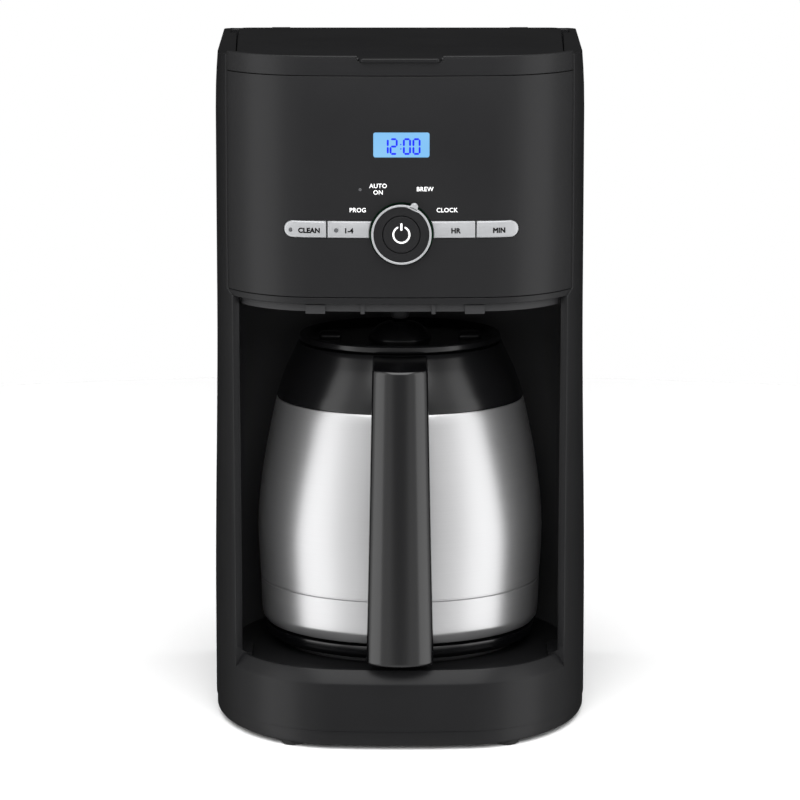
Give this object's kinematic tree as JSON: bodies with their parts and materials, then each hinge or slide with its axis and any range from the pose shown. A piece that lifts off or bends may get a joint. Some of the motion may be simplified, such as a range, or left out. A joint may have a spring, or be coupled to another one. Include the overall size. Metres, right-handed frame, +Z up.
{
  "type": "drip coffee maker",
  "caption": "Countertop drip coffee maker: tall black housing with a hinged top lid, round mode dial, bar buttons, clock display and a steel thermal carafe in an open bay.",
  "frame": {"origin": "on the table, under the middle of the machine's bounding box with the carafe in its bay", "axes": "+Z up, -Y towards the front with the controls and the carafe handle, +X to the right seen from the front"},
  "size_m": [0.201, 0.2396, 0.3585],
  "materials": {
    "matt_black_plastic": "fine satin grain",
    "dark_plastic": "matt",
    "panel_plastic": "satin",
    "gloss_black_plastic": "high gloss",
    "silver_plastic": "satin silver paint",
    "brushed_steel": "brushed round the body",
    "bright_steel": "electropolished",
    "plated_steel": "zinc plated",
    "cast_aluminium": "cast",
    "gold_mesh": "fine mesh",
    "rubber": "matt",
    "silicone": "matt translucent",
    "natural_plastic": "satin translucent",
    "clear_plastic": "clear",
    "circuit_board": "solder mask",
    "lit_display": "backlit"
  },
  "bodies": {
    "housing": {"main_housing": "matt_black_plastic", "base_cover": "matt_black_plastic", "chin_trim": "matt_black_plastic", "filter_basket": "matt_black_plastic", "base_plate": "dark_plastic", "bay_liner": "dark_plastic", "head_floor": "dark_plastic", "top_deck": "dark_plastic", "carafe_rest": "dark_plastic", "control_panel": "panel_plastic", "top_trim": "panel_plastic", "base_screw_1": "plated_steel", "base_screw_2": "plated_steel", "base_screw_3": "plated_steel", "base_screw_4": "plated_steel", "drip_stop_spring": "plated_steel", "heater_bracket": "plated_steel", "thermostat": "plated_steel", "hinge_pin_left": "plated_steel", "hinge_pin_right": "plated_steel", "heater": "cast_aluminium", "riser_tube": "cast_aluminium", "permanent_filter": "gold_mesh", "foot_front_left": "rubber", "foot_front_right": "rubber", "foot_rear_left": "rubber", "foot_rear_right": "rubber", "cord_gland": "rubber", "control_cable": "rubber", "thermal_fuse": "silicone", "inlet_hose": "silicone", "outlet_hose": "silicone", "port_seal": "silicone", "water_tank": "natural_plastic", "water_filter_holder": "natural_plastic", "check_valve": "natural_plastic", "water_window": "clear_plastic", "control_board": "circuit_board", "power_board": "circuit_board", "display_module": "lit_display", "display_lens": "lit_display"},
    "lid": {"lid": "matt_black_plastic", "lid_duct": "dark_plastic", "shower_head": "dark_plastic"},
    "carafe": {"carafe_shell": "brushed_steel", "carafe_liner": "bright_steel", "carafe_collar": "gloss_black_plastic", "carafe_base_ring": "gloss_black_plastic", "carafe_handle": "gloss_black_plastic"},
    "carafe_lid": {"carafe_lid": "gloss_black_plastic", "carafe_lid_seal": "silicone", "carafe_flow_tube": "natural_plastic"},
    "dial": {"selector_ring": "silver_plastic", "selector_hub": "panel_plastic"},
    "power_button": {"power_button": "panel_plastic"},
    "clean_button": {"clean_button": "silver_plastic"},
    "cups_button": {"cups_button": "silver_plastic"},
    "hour_button": {"hour_button": "silver_plastic"},
    "minute_button": {"minute_button": "silver_plastic"},
    "drip_stop": {"drip_stop_valve": "natural_plastic"}
  },
  "joints": [
    {"name": "lid_hinge", "type": "hinge", "parent": "housing", "child": "lid", "pos_m": [0, 0.10875, 0.3545], "axis": [-1, 0, 0], "range_deg": [0, 95]},
    {"name": "carafe_slide", "type": "slide", "parent": "housing", "child": "carafe", "axis": [0, -1, 0], "range_m": [0, 0.24]},
    {"name": "carafe_lid_turn", "type": "hinge", "parent": "carafe", "child": "carafe_lid", "pos_m": [0, -0.01325, 0.2], "axis": [0, 0, 1], "range_deg": [0, 60]},
    {"name": "dial_turn", "type": "hinge", "parent": "housing", "child": "dial", "pos_m": [0.0007, -0.108, 0.2681], "axis": [0, 1, 0], "range_deg": [-86, 37]},
    {"name": "power_button_press", "type": "slide", "parent": "housing", "child": "power_button", "axis": [0, 1, 0], "range_m": [0, 0.001], "stiffness_N_per_m": 900},
    {"name": "clean_button_press", "type": "slide", "parent": "housing", "child": "clean_button", "axis": [0, 1, 0], "range_m": [0, 0.0008], "stiffness_N_per_m": 900},
    {"name": "cups_button_press", "type": "slide", "parent": "housing", "child": "cups_button", "axis": [0, 1, 0], "range_m": [0, 0.0008], "stiffness_N_per_m": 900},
    {"name": "hour_button_press", "type": "slide", "parent": "housing", "child": "hour_button", "axis": [0, 1, 0], "range_m": [0, 0.0008], "stiffness_N_per_m": 900},
    {"name": "minute_button_press", "type": "slide", "parent": "housing", "child": "minute_button", "axis": [0, 1, 0], "range_m": [0, 0.0008], "stiffness_N_per_m": 900},
    {"name": "drip_stop_lift", "type": "slide", "parent": "housing", "child": "drip_stop", "axis": [0, 0, 1], "range_m": [0, 0.003], "stiffness_N_per_m": 250, "deforming": ["drip_stop_spring"]}
  ]
}
